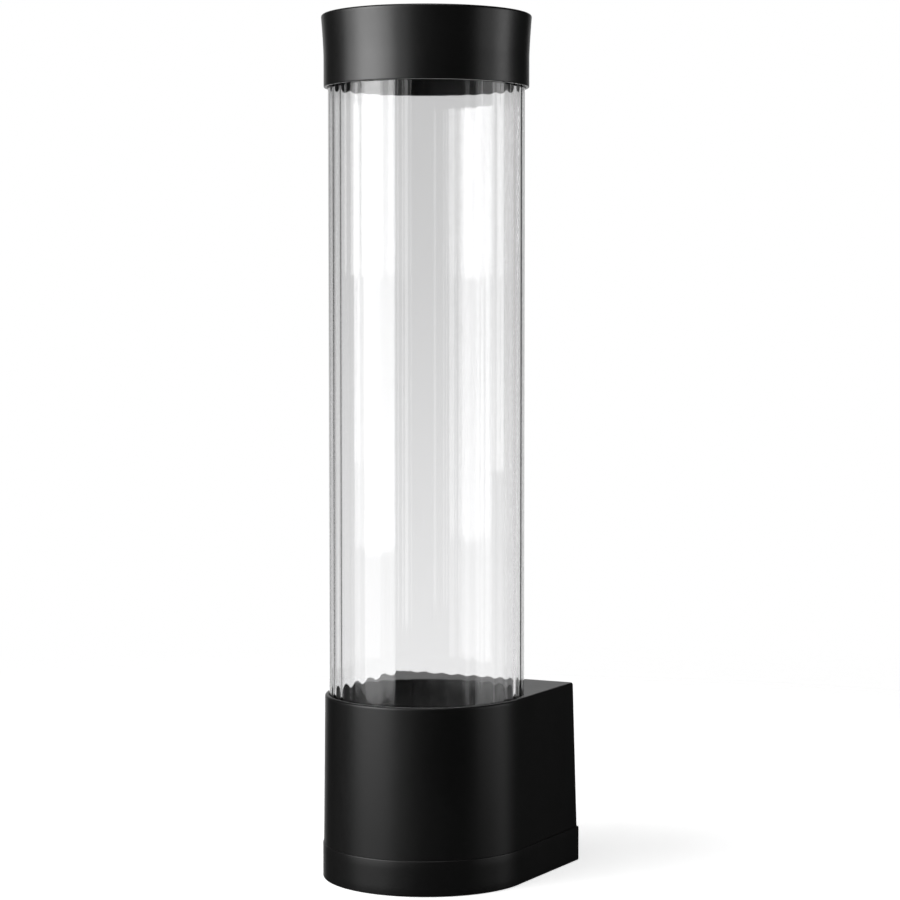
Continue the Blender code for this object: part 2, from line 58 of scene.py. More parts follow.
class Value:
    # wraps one output socket, so that sums on it add Math nodes
    def __init__(self, finish, socket):
        self.finish = finish
        self.socket = socket

    def maths(self, operation, *values):
        sockets = dict(enumerate(values))
        return self.finish.add("ShaderNodeMath", {"operation": operation}, sockets)

    def __add__(self, other):
        return self.maths("ADD", self, other)

    def __radd__(self, other):
        return self.maths("ADD", other, self)

    def __sub__(self, other):
        return self.maths("SUBTRACT", self, other)

    def __rsub__(self, other):
        return self.maths("SUBTRACT", other, self)

    def __mul__(self, other):
        return self.maths("MULTIPLY", self, other)

    def __rmul__(self, other):
        return self.maths("MULTIPLY", other, self)

    def atLeast(self, other):
        return self.maths("MAXIMUM", self, other)

    def step(self, low, high):
        # 0 below low, 1 above high, smooth between them
        sockets = {"Value": self, "From Min": low, "From Max": high}
        return self.finish.add("ShaderNodeMapRange", {"interpolation_type": "SMOOTHSTEP"}, sockets)


class Finish:
    # a node tree with one way to add a node: its type, its settings, then its sockets' values or
    # links
    def __init__(self, name, owner=None, **fixed):
        self.owner = owner or bpy.data.materials.new(name)
        self.owner.use_nodes = True
        self.tree = self.owner.node_tree
        self.shader = self.tree.nodes.get("Principled BSDF")
        self.surface(**fixed)

    def feed(self, node, socket, value):
        target = node.inputs[socket]
        if isinstance(value, Value):
            self.tree.links.new(value.socket, target)
        elif isinstance(value, (tuple, list)) and target.type == "RGBA" and len(value) == 3:
            target.default_value = (*value, 1)
        else:
            target.default_value = value

    def add(self, kind, settings=None, sockets=None, output=0):
        node = self.tree.nodes.new(kind)
        for name, value in (settings or {}).items():
            setattr(node, name, value)
        for name, value in (sockets or {}).items():
            self.feed(node, name, value)
        return Value(self, node.outputs[output])

    def place(self, stretch=(1, 1, 1)):
        # object coordinates, stretched along each axis
        coordinates = self.add("ShaderNodeTexCoord", output="Object")
        return self.add("ShaderNodeMapping", {}, {"Vector": coordinates, "Scale": stretch})

    def noise(self, where, scale, detail=2.0, roughness=0.5):
        sockets = {"Vector": where, "Scale": scale, "Detail": detail, "Roughness": roughness}
        return self.add("ShaderNodeTexNoise", {}, sockets)

    def mix(self, factor, first, second):
        return self.add("ShaderNodeMix", {"data_type": "RGBA"}, {0: factor, 6: first, 7: second}, 2)

    def bump(self, height, depth):
        return self.add("ShaderNodeBump", {}, {"Height": height, "Distance": depth})

    def rays(self):
        # what kind of ray arrives: each output of Light Path by its name
        outputs = self.add("ShaderNodeLightPath").socket.node.outputs
        return {output.name: Value(self, output) for output in outputs}

    def surface(self, **sockets):
        for socket, value in sockets.items():
            self.feed(self.shader, socket.replace("_", " "), value)
        return self.owner


def gridFaces(rows, columns, wrapRows=False):
    # the quads between neighbours of a grid, closed across its columns: corner (r, c) has number
    # r * columns + c
    r = np.arange(rows if wrapRows else rows - 1)[:, None]
    c = np.arange(columns)[None, :]
    rNext, cNext = (r + 1) % rows, (c + 1) % columns
    corners = (r * columns + c, r * columns + cNext, rNext * columns + cNext, rNext * columns + c)
    return np.stack(corners, axis=-1).reshape(-1, 4)


def shade(mesh, sharp):
    mesh.shade_smooth()
    mesh.set_sharp_from_angle(angle=math.radians(sharpAngles[sharp]))


def closeSeams(mesh, sharp):
    # merges the points of seams and poles and turns the faces outwards
    work = bmesh.new()
    work.from_mesh(mesh)
    bmesh.ops.remove_doubles(work, verts=work.verts, dist=mergeReach)
    bmesh.ops.dissolve_degenerate(work, edges=work.edges, dist=mergeReach / 10)
    bmesh.ops.recalc_face_normals(work, faces=work.faces)
    work.to_mesh(mesh)
    work.free()
    shade(mesh, sharp)


def meshFrom(name, points, faces, sharp="turned", shift=origin):
    # puts the arrays in a mesh at its place in the frame
    mesh = bpy.data.meshes.new(name)
    points = np.asarray(points, float).reshape(-1, 3) + shift
    mesh.vertices.add(len(points))
    mesh.vertices.foreach_set("co", points.astype(np.float32).ravel())
    mesh.loops.add(faces.size)
    mesh.loops.foreach_set("vertex_index", faces.astype(np.int32).ravel())
    mesh.polygons.add(len(faces))
    starts = np.arange(0, faces.size, faces.shape[1], dtype=np.int32)
    mesh.polygons.foreach_set("loop_start", starts)
    mesh.update(calc_edges=True)
    closeSeams(mesh, sharp)
    return mesh


def stacked(parts):
    # joins several (points, faces) pairs into one pair
    points = [part[0].reshape(-1, 3) for part in parts]
    counts = np.cumsum([0] + [len(group) for group in points[:-1]])
    return np.concatenate(points), np.concatenate([part[1] + n for part, n in zip(parts, counts)])


def addPiece(name, mesh, material, body, nodes=()):
    piece = bpy.data.objects.new(name, mesh)
    scene.collection.objects.link(piece)
    mesh.materials.clear()
    mesh.materials.append(material)
    if body:
        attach(piece, body)
    if nodes:
        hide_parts(*nodes)
    return piece


def roundedProfile(corners, arcSteps=4, margin=0.0005, straight=1.55):
    # A path through (across, up, radius) corners. A corner with a radius becomes an arc that
    # touches both of its sides: centre + (start * sin((1 - share) * sweep) + end * sin(share *
    # sweep)) / sin(sweep), with start and end the touching points seen from the centre. A point at
    # a small margin from each end of the arc keeps the rounding out of the flat sides' shading. A
    # corner whose half angle is over straight, in radians, stays one point.
    corners = np.asarray(corners, float)
    path = []
    for before, corner, after in zip(np.roll(corners, 1, 0), corners, np.roll(corners, -1, 0)):
        place, radius = corner[:2], corner[2]
        inward, outward = before[:2] - place, after[:2] - place
        inward, outward = inward / np.linalg.norm(inward), outward / np.linalg.norm(outward)
        half = math.acos(np.clip(inward @ outward, -1, 1)) / 2
        if radius <= 0 or half > straight:
            path.append(place[None])
            continue
        middle = (inward + outward) / np.linalg.norm(inward + outward)
        centre = place + middle * radius / math.sin(half)
        start = place + inward * radius / math.tan(half) - centre
        end = place + outward * radius / math.tan(half) - centre
        share = np.linspace(0, 1, arcSteps + 1)[:, None]
        sweep = math.pi - 2 * half
        arc = (start * np.sin((1 - share) * sweep) + end * np.sin(share * sweep)) / math.sin(sweep)
        path.append((centre + start + inward * margin)[None])
        path.append(centre + arc)
        path.append((centre + end + outward * margin)[None])
    return np.concatenate(path)


def revolved(profile, columns, closed=True):
    # point(row, angle) = (radius * cos, radius * sin, height)
    angle = np.arange(columns) * math.tau / columns
    radius, height = profile[:, :1], profile[:, 1:2]
    across, along = radius * np.cos(angle), radius * np.sin(angle)
    points = np.stack(np.broadcast_arrays(across, along, height), axis=-1)
    return points, gridFaces(len(profile), columns, wrapRows=closed)


def block(low, high):
    # a plain closed box between two corners
    square = [[0, 0], [1, 0], [1, 1], [0, 1]]
    bits = np.array([[x, y, z] for z in (0, 1) for x, y in square])
    faces = np.array([
        [0, 3, 2, 1], [4, 5, 6, 7], [0, 1, 5, 4],
        [1, 2, 6, 5], [2, 3, 7, 6], [3, 0, 4, 7],
    ])
    low, high = np.asarray(low, float), np.asarray(high, float)
    return low + bits * (high - low), faces


def rodAt(place, radius, low, high, columns=32):
    # an upright closed rod
    profile = np.array([[0, low], [radius, low], [radius, high], [0, high]])
    points, faces = revolved(profile, columns, closed=False)
    return points + np.array([*place, 0.0]), faces


def turnedAbout(points, angle):
    # (x, y) turned about the tube's axis
    c, s = math.cos(angle), math.sin(angle)
    return points @ np.array([[c, s, 0], [-s, c, 0], [0, 0, 1]])


def onCircle(radius, degrees):
    # a place on a circle about the tube's axis
    a = math.radians(degrees)
    return radius * math.cos(a), radius * math.sin(a)


def carve(piece, parts, operation="DIFFERENCE"):
    # cuts the closed forms out of the piece, or joins them to it, and keeps the result as its mesh
    tool = bpy.data.objects.new("carvingTool", meshFrom("carvingTool", *stacked(parts)))
    scene.collection.objects.link(tool)
    modifier = piece.modifiers.new("carve", "BOOLEAN")
    modifier.operation, modifier.solver, modifier.object = operation, "EXACT", tool
    bpy.context.view_layer.update()
    shown = piece.evaluated_get(bpy.context.evaluated_depsgraph_get())
    made = bpy.data.meshes.new_from_object(shown)
    piece.modifiers.clear()
    made.materials.clear()
    made.materials.append(piece.data.materials[0])
    piece.data = made
    closeSeams(made, "shell")
    bpy.data.objects.remove(tool)


# Finishes. A noise is its scale per metre, then its detail and roughness. A stretch is along x, y
# and z, a step is where a smooth step starts and ends, and a depth is a bump's height in metres.
blackLooks = {
    "capBlack": {"tone": 0.0048, "rough": 0.31, "depth": 0.000010, "ior": 1.49},
    "bodyBlack": {"tone": 0.0046, "rough": 0.34, "depth": 0.000012, "ior": 1.42},
    "plateBlack": {"tone": 0.0105, "rough": 0.5, "depth": 0.00002, "ior": 1.49},
}
blackDetail = {
    "grain": (2600.0, 2.0, 0.6),
    "mottle": (420.0, 3.0, 0.55),
    "cloud": (38.0, 4.0, 0.55),
    "specks": (5200.0, 1.0),
    "cloudStretch": (1, 1, 0.35),
    "toneStep": (0.3, 0.7),
    "speckStep": (0.76, 0.82),
    "dustStep": (0.45, 0.7),
    "darker": 0.86,
    "lighter": 1.16,
    "dustTone": (0.055, 0.054, 0.052),
    "dust": 0.5,
    "roughSpread": {"cloud": 0.10, "mottle": 0.07, "dust": 0.2},
    "grainShare": 0.65,
}
clearLooks = {
    "tones": ((0.975, 0.975, 0.978), (0.99, 0.99, 0.992)),
    "rough": 0.02,
    "hazeRough": 0.03,
    "waves": (46.0, 2.0),
    "hairlines": (1500.0, 2.0, 0.7),
    "haze": (24.0, 3.0),
    "waveStretch": (1, 1, 0.02),
    "hairStretch": (1, 1, 0.015),
    "hazeStretch": (1, 1, 0.3),
    "toneStep": (0.3, 0.75),
    "hazeStep": (0.35, 0.8),
    "hairStep": (0.62, 0.75),
    "depth": 0.00005,
    "ior": 1.49,
}
innerLooks = {
    "tones": ((0.019, 0.0195, 0.021), (0.029, 0.0295, 0.031)),
    "rough": 0.46,
    "flowRough": 0.22,
    "flow": (140.0, 4.0, 0.6),
    "grain": (3000.0, 2.0),
    "flowStretch": (1, 1, 3),
    "toneStep": (0.3, 0.72),
    "flowShare": 0.4,
    "depth": 0.00002,
    "ior": 1.5,
}
steelLooks = {
    "screwSteel": (0.56, 0.55, 0.52),
    "springSteel": (0.5, 0.5, 0.5),
    "dull": 0.72,
    "rough": 0.24,
    "drawnRough": 0.18,
    "spotRough": 0.15,
    "drawing": (900.0, 3.0, 0.65),
    "spots": (700.0, 3.0),
    "drawnStretch": (1, 1, 9),
    "dullStep": (0.35, 0.75),
    "spotStep": (0.5, 0.8),
    "depth": 0.000012,
}
foamLooks = {
    "poreTone": (0.52, 0.51, 0.47),
    "sheetTones": ((0.74, 0.73, 0.69), (0.68, 0.66, 0.61)),
    "rough": 0.85,
    "poreRough": 0.1,
    "pores": 1500.0,
    "stain": (90.0, 3.0),
    "poreStep": (0.1, 0.42),
    "depth": 0.0001,
}


def mouldedBlack(name):
    # Satin moulded plastic: a fine eroded grain, a slightly uneven gloss and the faintest dust
    s, d = blackLooks[name], blackDetail
    finish = Finish(name, IOR=s["ior"])
    where = finish.place()
    grain = finish.noise(where, *d["grain"])
    mottle = finish.noise(where, *d["mottle"])
    cloud = finish.noise(finish.place(d["cloudStretch"]), *d["cloud"])
    specks = finish.noise(where, *d["specks"])
    dust = specks.step(*d["speckStep"]) * cloud.step(*d["dustStep"])
    dark, light = s["tone"] * d["darker"], s["tone"] * d["lighter"]
    colour = finish.mix(cloud.step(*d["toneStep"]), (dark,) * 3, (light,) * 3)
    colour = finish.mix(dust * d["dust"], colour, d["dustTone"])
    spread, share = d["roughSpread"], d["grainShare"]
    uneven = (cloud - 0.5) * spread["cloud"] + (mottle - 0.5) * spread["mottle"]
    roughness = s["rough"] + uneven + dust * spread["dust"]
    normal = finish.bump(grain * share + mottle * (1 - share), s["depth"])
    return finish.surface(Base_Color=colour, Roughness=roughness, Normal=normal)


def clearMoulding():
    # Clear moulded plastic: slow waves in the wall, hairlines along it and a little haze
    s = clearLooks
    finish = Finish("clearMoulding", Transmission_Weight=1.0, IOR=s["ior"])
    wave = finish.noise(finish.place(s["waveStretch"]), *s["waves"])
    hair = finish.noise(finish.place(s["hairStretch"]), *s["hairlines"])
    haze = finish.noise(finish.place(s["hazeStretch"]), *s["haze"])
    colour = finish.mix(haze.step(*s["toneStep"]), *s["tones"])
    marks = haze.step(*s["hazeStep"]) + hair.step(*s["hairStep"])
    roughness = s["rough"] + marks * s["hazeRough"]
    normal = finish.bump(wave, s["depth"])
    return finish.surface(Base_Color=colour, Roughness=roughness, Normal=normal)


def innerMoulding():
    # Dark plastic of the works inside, duller than the shell, with flow marks
    s = innerLooks
    finish = Finish("innerMoulding", IOR=s["ior"])
    flow = finish.noise(finish.place(s["flowStretch"]), *s["flow"])
    grain = finish.noise(finish.place(), *s["grain"])
    colour = finish.mix(flow.step(*s["toneStep"]), *s["tones"])
    roughness = s["rough"] + (flow - 0.5) * s["flowRough"]
    normal = finish.bump(grain + flow * s["flowShare"], s["depth"])
    return finish.surface(Base_Color=colour, Roughness=roughness, Normal=normal)


def platedSteel(name):
    # Bright plated steel with drawing marks and dull spots
    s = steelLooks
    finish = Finish(name, Metallic=1.0)
    drawn = finish.noise(finish.place(s["drawnStretch"]), *s["drawing"])
    spots = finish.noise(finish.place(), *s["spots"])
    dull = tuple(s["dull"] * c for c in s[name])
    colour = finish.mix(spots.step(*s["dullStep"]), s[name], dull)
    roughness = s["rough"] + drawn * s["drawnRough"] + spots.step(*s["spotStep"]) * s["spotRough"]
    normal = finish.bump(drawn, s["depth"])
    return finish.surface(Base_Color=colour, Roughness=roughness, Normal=normal)


def foamTape():
    # White foam tape: round pores in a matt sheet
    s = foamLooks
    finish = Finish("foamTape")
    where = finish.place()
    cells = finish.add("ShaderNodeTexVoronoi", {}, {"Vector": where, "Scale": s["pores"]})
    pores = cells.step(*s["poreStep"])
    stain = finish.noise(where, *s["stain"])
    colour = finish.mix(pores, s["poreTone"], finish.mix(stain, *s["sheetTones"]))
    roughness = s["rough"] + pores * s["poreRough"]
    normal = finish.bump(pores, s["depth"])
    return finish.surface(Base_Color=colour, Roughness=roughness, Normal=normal)


capBlack = mouldedBlack("capBlack")
bodyBlack = mouldedBlack("bodyBlack")
plateBlack = mouldedBlack("plateBlack")
clearPlastic = clearMoulding()
innerBlack = innerMoulding()
screwSteel = platedSteel("screwSteel")
springSteel = platedSteel("springSteel")
padFoam = foamTape()
print("finishes made,", len(bpy.data.materials), "materials")


capSizes = {
    "top": 0.4000,
    "low": 0.36695,
    "inside": 0.0458,
    "skirt": 0.0475,
    "skirtStop": 0.0020,  # the plain skirt ends this far below the flare's height
    "rim": 0.0486,
    "flareHeight": 0.0185,
    "flarePower": 1.4,
    "roof": 0.0020,
    "roofRound": 0.0012,
    "underRing": 0.03,
    "topRings": (0.04, 0.02),
    "edge": 0.0010,
    "lipInside": 0.0003,
    "lipOutside": 0.0004,
    "ribs": 8,
    "ribHalf": 0.0008,
    "ribReach": 0.0050,
    "ribOutside": 0.0462,
    "ribDrop": 0.0040,
    "ribRoot": 0.0010,
    "columns": 256,
    "flareRows": 25,
    "edgeRows": 9,
    "arcSteps": 5,
    "arcMargin": 0.0002,
}


def capShape():
    # Outer radius = skirt + (rim - skirt) * share ** power over the flare's height. The rest of the
    # half section is straight lines with rounded corners, from the axis under the roof round to the
    # axis on top.
    s = capSizes
    shoulder, under = s["top"] - s["edge"], s["top"] - s["roof"]
    share = np.linspace(0, 1, s["flareRows"])
    flareRadius = s["skirt"] + (s["rim"] - s["skirt"]) * share ** s["flarePower"]
    flareUp = shoulder - (1 - share) * s["flareHeight"]
    turn = np.linspace(0, math.pi / 2, s["edgeRows"])[1:]
    edgeRadius = s["rim"] - s["edge"] * (1 - np.cos(turn))
    edgeUp = shoulder + s["edge"] * np.sin(turn)
    inner = roundedProfile([
        (0, under, 0),
        (s["inside"], under, s["roofRound"]),
        (s["inside"], s["low"], s["lipInside"]),
        (s["skirt"], s["low"], s["lipOutside"]),
        (s["skirt"], s["top"] - s["flareHeight"] - s["skirtStop"], 0),
    ], s["arcSteps"], s["arcMargin"])[1:]
    first = np.array([[0, under], [s["underRing"], under]])
    flare = np.column_stack([flareRadius, flareUp])
    edge = np.column_stack([edgeRadius, edgeUp])
    last = np.array([[radius, s["top"]] for radius in (*s["topRings"], 0)])
    return np.concatenate([first, inner, flare, edge, last])


def makeCap():
    s = capSizes
    under = s["top"] - s["roof"]
    parts = [revolved(capShape(), s["columns"], closed=False)]
    ribLow = (s["inside"] - s["ribReach"], -s["ribHalf"], under - s["ribDrop"])
    points, faces = block(ribLow, (s["ribOutside"], s["ribHalf"], under + s["ribRoot"]))
    for i in range(s["ribs"]):
        parts.append((turnedAbout(points, i * math.tau / s["ribs"]), faces))
    addPiece("cap", meshFrom("cap", *stacked(parts)), capBlack, "cap", ["top_cap"])


makeCap()
print("cap made")


tubeSizes = {
    "low": 0.0590,
    "high": 0.3937,
    "outside": 0.0455,
    "inside": 0.0433,
    "flutes": 36,
    "fluteTurn": 4.0,
    "fluteDepth": 0.0002,
    "fluteColumns": 14,
    "rimRound": 0.0006,
}


def makeTube():
    # Inner radius = inside + depth * (1 - cos(flutes * turned angle)) / 2, faded out over the
    # rounded rims. The outer wall is a plain circle. The section runs up the outside and down the
    # inside.
    s = tubeSizes
    columns = s["flutes"] * s["fluteColumns"]
    angle = np.arange(columns) * math.tau / columns
    turned = angle - math.radians(s["fluteTurn"])
    dip = s["fluteDepth"] * (1 - np.cos(s["flutes"] * turned)) / 2
    section = roundedProfile([
        (s["outside"], s["low"], s["rimRound"]),
        (s["outside"], s["high"], s["rimRound"]),
        (s["inside"], s["high"], s["rimRound"]),
        (s["inside"], s["low"], s["rimRound"]),
    ])
    share = np.clip((section[:, :1] - s["inside"]) / (s["outside"] - s["inside"]), 0, 1)
    radius = section[:, :1] + dip * (1 - share)
    height = np.broadcast_to(section[:, 1:2], radius.shape)
    points = np.stack([radius * np.cos(angle), radius * np.sin(angle), height], axis=-1)
    mesh = meshFrom("tube", points, gridFaces(len(section), columns, wrapRows=True), "wavy")
    tube = addPiece("tube", mesh, clearPlastic, "tube", ["cup_tube"])
    tube.visible_shadow = False


makeTube()
print("tube made")


housingSizes = {
    "top": 0.0857,
    "low": 0.01631,
    "front": 0.0475,
    "frontDraft": 0.0007,
    "sideDraft": 0.0022,
    "depth": 0.0625,
    "corner": 0.0022,
    "wall": 0.0022,
    "deck": 0.0022,
    "edge": 0.0011,
    "edgeMargin": 0.0006,
    "socket": 0.0458,
    "socketEdge": 0.0003,
    "socketRows": (0.08, 0.07, 0.0592),
    "socketOutside": 0.0472,
    "ledgeBore": 0.0430,
    "ledgeTop": 0.0587,
    "ledgeLow": 0.0568,
    "ledgeEdge": 0.0004,
    "wallRows": 12,
    "edgeSteps": 7,
    "socketSteps": 4,
    "deckShares": (0.06, 0.35, 0.7, 0.94, 1.0),
}
# the pocket for the wall plate behind, with a tray round it and a window for each hook
pocketSizes = {
    "floor": 0.0600,
    "low": 0.0245,
    "high": 0.0785,
    "half": 0.0345,
    "openBack": 0.0700,
    "trayWall": 0.0020,
    "trayBack": 0.0614,
    "windowSide": 0.0240,
    "windowHalf": 0.0050,
    "windowTops": (0.0423, 0.0663),
    "windowHeight": 0.0125,
    "windowFront": 0.0500,
    "windowBack": 0.0625,
}


# how an outline is divided: points on its arcs, and shares of the way along its straight sides
outlineSteps = {
    "leastCorner": 0.0005,
    "frontPoints": 145,
    "cornerPoints": 9,
    "sideShares": (0.01, 0.25, 0.5, 0.75, 0.985),
    "backShares": (0.008, 0.2, 0.4, 0.6, 0.8, 0.992),
}


def dOutline(front, half, depth, corner):
    # Half a circle at the front, straight sides that spread to the back, two quarter-circle corners
    # and a straight back. Every outline has the same number of points, in the same order.
    s = outlineSteps
    corner = max(corner, s["leastCorner"])
    a = np.linspace(0, -math.pi, s["frontPoints"])
    arc = np.stack([front * np.cos(a), front * np.sin(a)], axis=1)
    middle, back = half - corner, depth - corner
    b = np.linspace(math.pi, math.pi / 2, s["cornerPoints"])
    leftCorner = np.stack([-middle + corner * np.cos(b), back + corner * np.sin(b)], axis=1)
    rightCorner = leftCorner[::-1] * np.array([-1, 1])
    sideShare = np.array(s["sideShares"])[:, None]
    leftSide = arc[-1] + sideShare * (leftCorner[0] - arc[-1])
    backShare = np.array(s["backShares"])[:, None]
    backSide = leftCorner[-1] + backShare * (rightCorner[0] - leftCorner[-1])
    rightSide = leftSide[::-1] * np.array([-1, 1])
    return np.concatenate([arc, leftSide, leftCorner, backSide, rightCorner, rightSide])


def housingRing(height, inset=0.0):
    # the housing's outline at this height: it widens evenly downwards by its drafts
    s = housingSizes
    share = (s["top"] - height) / (s["top"] - s["low"])
    front = s["front"] + share * s["frontDraft"] - inset
    half = s["front"] + share * s["sideDraft"] - inset
    return dOutline(front, half, s["depth"] - inset, s["corner"] - inset)


def roundRing(radius, like):
    # a circle with one point in the direction of each point of the outline
    return radius * like / np.linalg.norm(like, axis=1, keepdims=True)


def loft(rings):
    # point(row, column) = (outline of that row at that column, the row's height), closed both ways
    points = np.stack([np.column_stack([ring, np.full(len(ring), z)]) for ring, z in rings])
    return points, gridFaces(points.shape[0], points.shape[1], wrapRows=True)


def quarter(steps, radius):
    # pairs of (how far in, how far up) around an edge of that radius, from the side to the top
    a = np.linspace(0, math.pi / 2, steps + 1)
    return list(zip(radius * (1 - np.cos(a)), radius * np.sin(a)))


def makeHousing():
    # Lofted up the outside, over the deck, down the socket, round its ledge, up to the deck again
    # and down inside the wall
    s = housingSizes
    top, low, edge, rim = s["top"], s["low"], s["edge"], s["socketEdge"]
    bore, ledge, under = s["ledgeBore"], s["ledgeTop"], top - s["deck"]
    rows = np.linspace(low, top - edge - s["edgeMargin"], s["wallRows"])
    rings = [(housingRing(z), z) for z in rows]
    for inset, rise in quarter(s["edgeSteps"], edge):
        z = top - edge + rise
        rings.append((housingRing(z, inset), z))
    outer = rings[-1][0]
    mouth = roundRing(s["socket"] + rim, outer)
    rings += [(outer + share * (mouth - outer), top) for share in s["deckShares"]]
    turn = quarter(s["socketSteps"], rim)[-2::-1]
    circles = [(s["socket"] + inset, top - rim + rise) for inset, rise in turn]
    circles += [(s["socket"], z) for z in (*s["socketRows"], ledge)]
    circles += [(bore + s["ledgeEdge"], ledge), (bore, ledge - s["ledgeEdge"])]
    circles += [(radius, s["ledgeLow"]) for radius in (bore, s["socketOutside"])]
    circles.append((s["socketOutside"], under))
    rings += [(roundRing(radius, outer), z) for radius, z in circles]
    rings += [(housingRing(z, s["wall"]), z) for z in (under, low)]
    mesh = meshFrom("housingShell", *loft(rings), "shell")
    housing = addPiece("housingShell", mesh, bodyBlack, "base", ["housing"])
    carvePocket(housing)


def carvePocket(housing):
    s = pocketSizes
    half, wall = s["half"], s["trayWall"]
    trayLow = (-half - wall, s["floor"] - wall, s["low"] - wall)
    carve(housing, [block(trayLow, (half + wall, s["trayBack"], s["high"] + wall))], "UNION")
    carve(housing, [block((-half, s["floor"], s["low"]), (half, s["openBack"], s["high"]))])
    windows = []
    for middle in (-s["windowSide"], s["windowSide"]):
        left, right = middle - s["windowHalf"], middle + s["windowHalf"]
        for high in s["windowTops"]:
            windowLow = (left, s["windowFront"], high - s["windowHeight"])
            windows.append(block(windowLow, (right, s["windowBack"], high)))
    carve(housing, windows)


coverSizes = {
    "front": 0.0486,
    "half": 0.0506,
    "depth": 0.0630,
    "corner": 0.0024,
    "height": 0.0163,
    "floor": 0.0024,
    "wall": 0.0022,
    "edge": 0.0005,
    "outlet": 0.0395,
    "outletEdge": 0.0008,
    "tongueHigh": 0.0213,
    "tongueLow": 0.0141,
    "tongueInset": 0.0025,
    "tongueWall": 0.0012,
    "tongueEdge": 0.0003,
    "post": 0.0036,
    "postLow": 0.0010,
    "wallRows": 5,
    "edgeSteps": 5,
    "outletSteps": 4,
    "floorShares": (0.06, 0.5, 0.94),
}
# radius, lower end, upper end and sides of the bores for the screws
boreSizes = {
    "coverHead": (0.0031, -0.002, 0.0021, 48),
    "coverShank": (0.00155, 0.0015, 0.02, 32),
    "carrierHead": (0.0020, -0.002, 0.0014, 40),
    "carrierShank": (0.00105, 0.0008, 0.004, 32),
}
screwPlaces = {
    "cover": [(-0.0395, 0.0515), (0.0395, 0.0515)],
    "carrier": [onCircle(0.0427, degrees) for degrees in (60, 120, 240, 300)],
    "retainer": [onCircle(0.04145, degrees) for degrees in (30, 150, 210, 330)],
}


def coverRing(inset=0.0):
    s = coverSizes
    return dOutline(s["front"] - inset, s["half"] - inset, s["depth"] - inset, s["corner"] - inset)


def makeCover():
    # Lofted up the outside, over the tongue, down inside, through the outlet and back under the
    # floor
    s = coverSizes
    high, floor, tongue = s["height"], s["floor"], s["tongueHigh"]
    edge, rim = s["edge"], s["outletEdge"]
    turn = quarter(s["edgeSteps"], edge)
    rings = [(coverRing(inset), edge - rise) for inset, rise in turn[::-1]]
    rings += [(coverRing(), z) for z in np.linspace(edge, high - edge, s["wallRows"])[1:-1]]
    rings += [(coverRing(inset), high - edge + rise) for inset, rise in turn]
    steps = [
        (0, high),
        (0, tongue - s["tongueEdge"]),
        (s["tongueEdge"], tongue),
        (s["tongueWall"], tongue),
        (s["tongueWall"], s["tongueLow"]),
    ]
    rings += [(housingRing(tongue, s["tongueInset"] + inset), z) for inset, z in steps]
    rings += [(coverRing(s["wall"]), z) for z in (s["tongueLow"], floor)]
    like = rings[0][0]
    turn = quarter(s["outletSteps"], rim)
    circles = [(inset, floor - rim + rise) for inset, rise in turn[::-1]]
    circles += [(inset, rim - rise) for inset, rise in turn]
    rings += [(roundRing(s["outlet"] + inset, like), z) for inset, z in circles]
    last = rings[-1][0]
    rings += [(last + share * (like - last), 0.0) for share in s["floorShares"]]
    mesh = meshFrom("bottomRim", *loft(rings), "shell")
    cover = addPiece("bottomRim", mesh, bodyBlack, "base", ["bottom_cover"])
    posts = [rodAt(place, s["post"], s["postLow"], high) for place in screwPlaces["cover"]]
    carve(cover, posts, "UNION")
    for part in ("Head", "Shank"):
        bores = []
        for kind in ("cover", "carrier"):
            bores += [rodAt(place, *boreSizes[kind + part]) for place in screwPlaces[kind]]
        carve(cover, bores)


makeHousing()
makeCover()
print("housing and bottom cover made")


guideSizes = {
    "rim": 0.0451,
    "rimLow": 0.0545,
    "top": 0.0565,
    "mouth": 0.0430,
    "throat": 0.0391,
    "throatTop": 0.0184,
    "low": 0.0164,
    "throatOutside": 0.0405,
    "coneOutside": 0.0444,
    "edge": 0.0003,
    "mouthEdge": 0.0006,
    "lowEdge": 0.0005,
    "bend": 0.0020,
    "columns": 160,
}


def makeGuide():
    # a funnel turned from a closed section with rounded corners
    s = guideSizes
    section = roundedProfile([
        (s["rim"], s["top"], s["edge"]),
        (s["mouth"], s["top"], s["mouthEdge"]),
        (s["throat"], s["throatTop"], s["bend"]),
        (s["throat"], s["low"], s["lowEdge"]),
        (s["throatOutside"], s["low"], s["edge"]),
        (s["throatOutside"], s["throatTop"], s["bend"]),
        (s["coneOutside"], s["rimLow"], s["edge"]),
        (s["rim"], s["rimLow"], s["edge"]),
    ])
    mesh = meshFrom("guideFunnel", *revolved(section, s["columns"]))
    addPiece("guideFunnel", mesh, innerBlack, "base", ["cup_guide"])


# how wide the edges of the copied nodes are rounded
edgeWidths = {
    "carrier": 0.00018,
    "retainer": 0.00008,
    "pawl": 0.0002,
    "pin": 0.0002,
    "plate": 0.0003,
    "pad": 0.0002,
}
edgeSegments = 2
flatAngle = 1  # faces that turn by less than these degrees become one


def softenedCopy(name, node, width, material, body):
    # a copy of a node with its seams closed, its flat faces whole and its edges slightly rounded
    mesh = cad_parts[node].data.copy()
    work = bmesh.new()
    work.from_mesh(mesh)
    bmesh.ops.remove_doubles(work, verts=work.verts, dist=mergeReach)
    flat = math.radians(flatAngle)
    bmesh.ops.dissolve_limit(work, angle_limit=flat, verts=work.verts, edges=work.edges)
    bmesh.ops.dissolve_degenerate(work, edges=work.edges, dist=mergeReach)
    work.to_mesh(mesh)
    work.free()
    shade(mesh, "shell")
    piece = addPiece(name, mesh, material, body, [node])
    bevel = piece.modifiers.new("edges", "BEVEL")
    bevel.width, bevel.segments, bevel.limit_method = width, edgeSegments, "ANGLE"
    bevel.angle_limit = math.radians(sharpAngles["shell"])
    bevel.harden_normals = True


